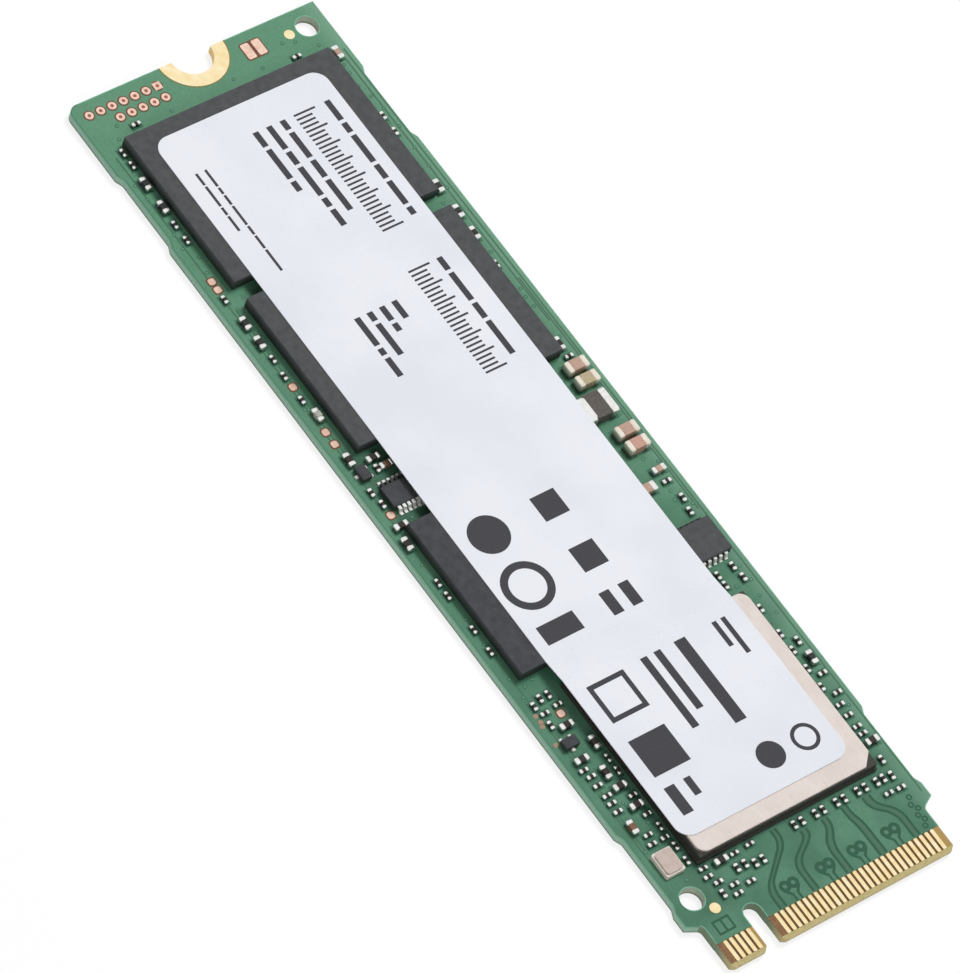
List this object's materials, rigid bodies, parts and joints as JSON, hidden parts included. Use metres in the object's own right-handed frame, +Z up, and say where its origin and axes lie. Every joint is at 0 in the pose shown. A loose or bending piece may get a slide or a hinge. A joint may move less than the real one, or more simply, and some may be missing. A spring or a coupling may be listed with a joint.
{
  "type": "m2 nvme solid-state drive",
  "caption": "Bare M.2 solid-state drive: thin green circuit board with a keyed gold edge connector, a half-round screw notch, black memory chips, a metal-lidded controller and a pale label.",
  "frame": {"origin": "centre of the board's underside, midway between the two ends and the two long edges", "axes": "+X along the board from the screw notch to the edge connector, +Y to the long edge away from the key notch, +Z up from the underside to the chips"},
  "size_m": [0.08, 0.022, 0.0021],
  "materials": {
    "board_green": "glossy green solder mask over glass-fibre laminate, bare tan laminate round the edge contacts",
    "gold": "pale gold plating",
    "copper": "bare pinkish copper",
    "chip_black": "matt dark grey moulding",
    "lid_metal": "satin pale metal",
    "label_paper": "smooth pale printed sheet",
    "tin": "bright tin and solder",
    "crystal_ceramic": "fired ceramic",
    "crystal_metal": "satin metal lid",
    "capacitor_brown": "brown fired ceramic",
    "inductor_grey": "dark grey pressed powder",
    "passive_dark": "dark brown to black ceramic"
  },
  "bodies": {
    "root": {"circuit_board": "board_green", "contacts_top_main": "gold", "contacts_top_key": "gold", "contacts_bottom_main": "gold", "contacts_bottom_key": "gold", "screw_notch_plating": "gold", "fiducial_dots": "gold", "test_pads": "copper", "jumper_pads": "copper", "spare_pads": "copper", "flash_chip_far": "chip_black", "flash_chip_near": "chip_black", "memory_chip": "chip_black", "controller_base": "chip_black", "controller_lid": "lid_metal", "label": "label_paper", "wide_chip_body": "chip_black", "wide_chip_leads": "tin", "thin_chip_body": "chip_black", "thin_chip_leads": "tin", "transistor_bodies": "chip_black", "transistor_leads": "tin", "crystal_base": "crystal_ceramic", "crystal_lid": "crystal_metal", "bulk_capacitor_bodies": "capacitor_brown", "bulk_capacitor_ends": "tin", "inductor_bodies": "inductor_grey", "inductor_ends": "tin", "left_edge_passive_bodies": "passive_dark", "left_edge_passive_ends": "tin", "right_edge_passive_bodies": "passive_dark", "right_edge_passive_ends": "tin", "power_zone_passive_bodies": "passive_dark", "power_zone_passive_ends": "tin", "controller_left_passive_bodies": "passive_dark", "controller_left_passive_ends": "tin", "controller_right_passive_bodies": "passive_dark", "controller_right_passive_ends": "tin", "contact_zone_passive_bodies": "passive_dark", "contact_zone_passive_ends": "tin", "coupling_capacitor_bodies": "passive_dark", "coupling_capacitor_ends": "tin"}
  },
  "joints": []
}
